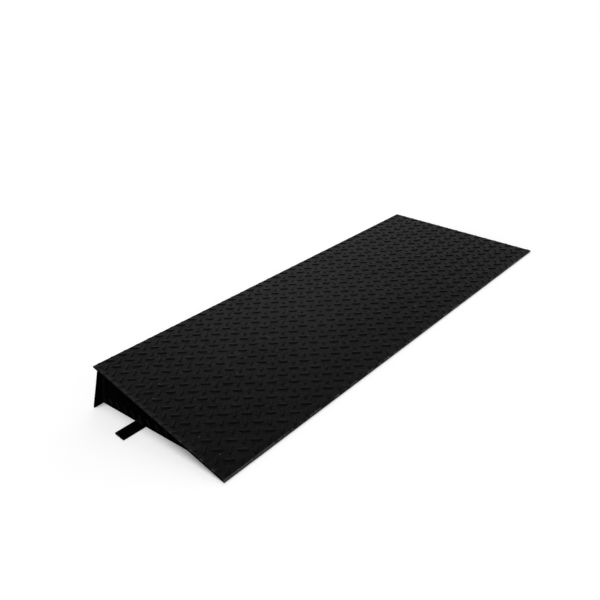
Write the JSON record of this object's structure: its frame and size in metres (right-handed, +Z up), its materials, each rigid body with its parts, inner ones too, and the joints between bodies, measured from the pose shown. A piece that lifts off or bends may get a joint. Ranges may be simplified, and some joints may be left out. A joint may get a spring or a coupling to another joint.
{
  "type": "access ramp",
  "caption": "Low welded ramp of black tread plate: a sloping deck on outward-leaning end gussets and inner ribs, a rear plate with slanted ends, and a floor strap whose ends stick out past the sides.",
  "frame": {"origin": "on the floor, in the middle of the ramp's footprint", "axes": "+X along the ramp's length, +Y from the toe to the high rear edge, +Z up"},
  "size_m": [1.084, 0.4184, 0.0857],
  "materials": {
    "deck_paint": "satin black paint on raised tread plate, lightly worn on the lugs and the toe",
    "frame_paint": "satin black paint",
    "strap_paint": "satin black paint"
  },
  "bodies": {
    "root": {"tread_plate": "deck_paint", "rear_plate": "frame_paint", "gusset_left": "frame_paint", "gusset_right": "frame_paint", "rib_1": "frame_paint", "rib_2": "frame_paint", "rib_3": "frame_paint", "cross_strap": "strap_paint"}
  },
  "joints": []
}
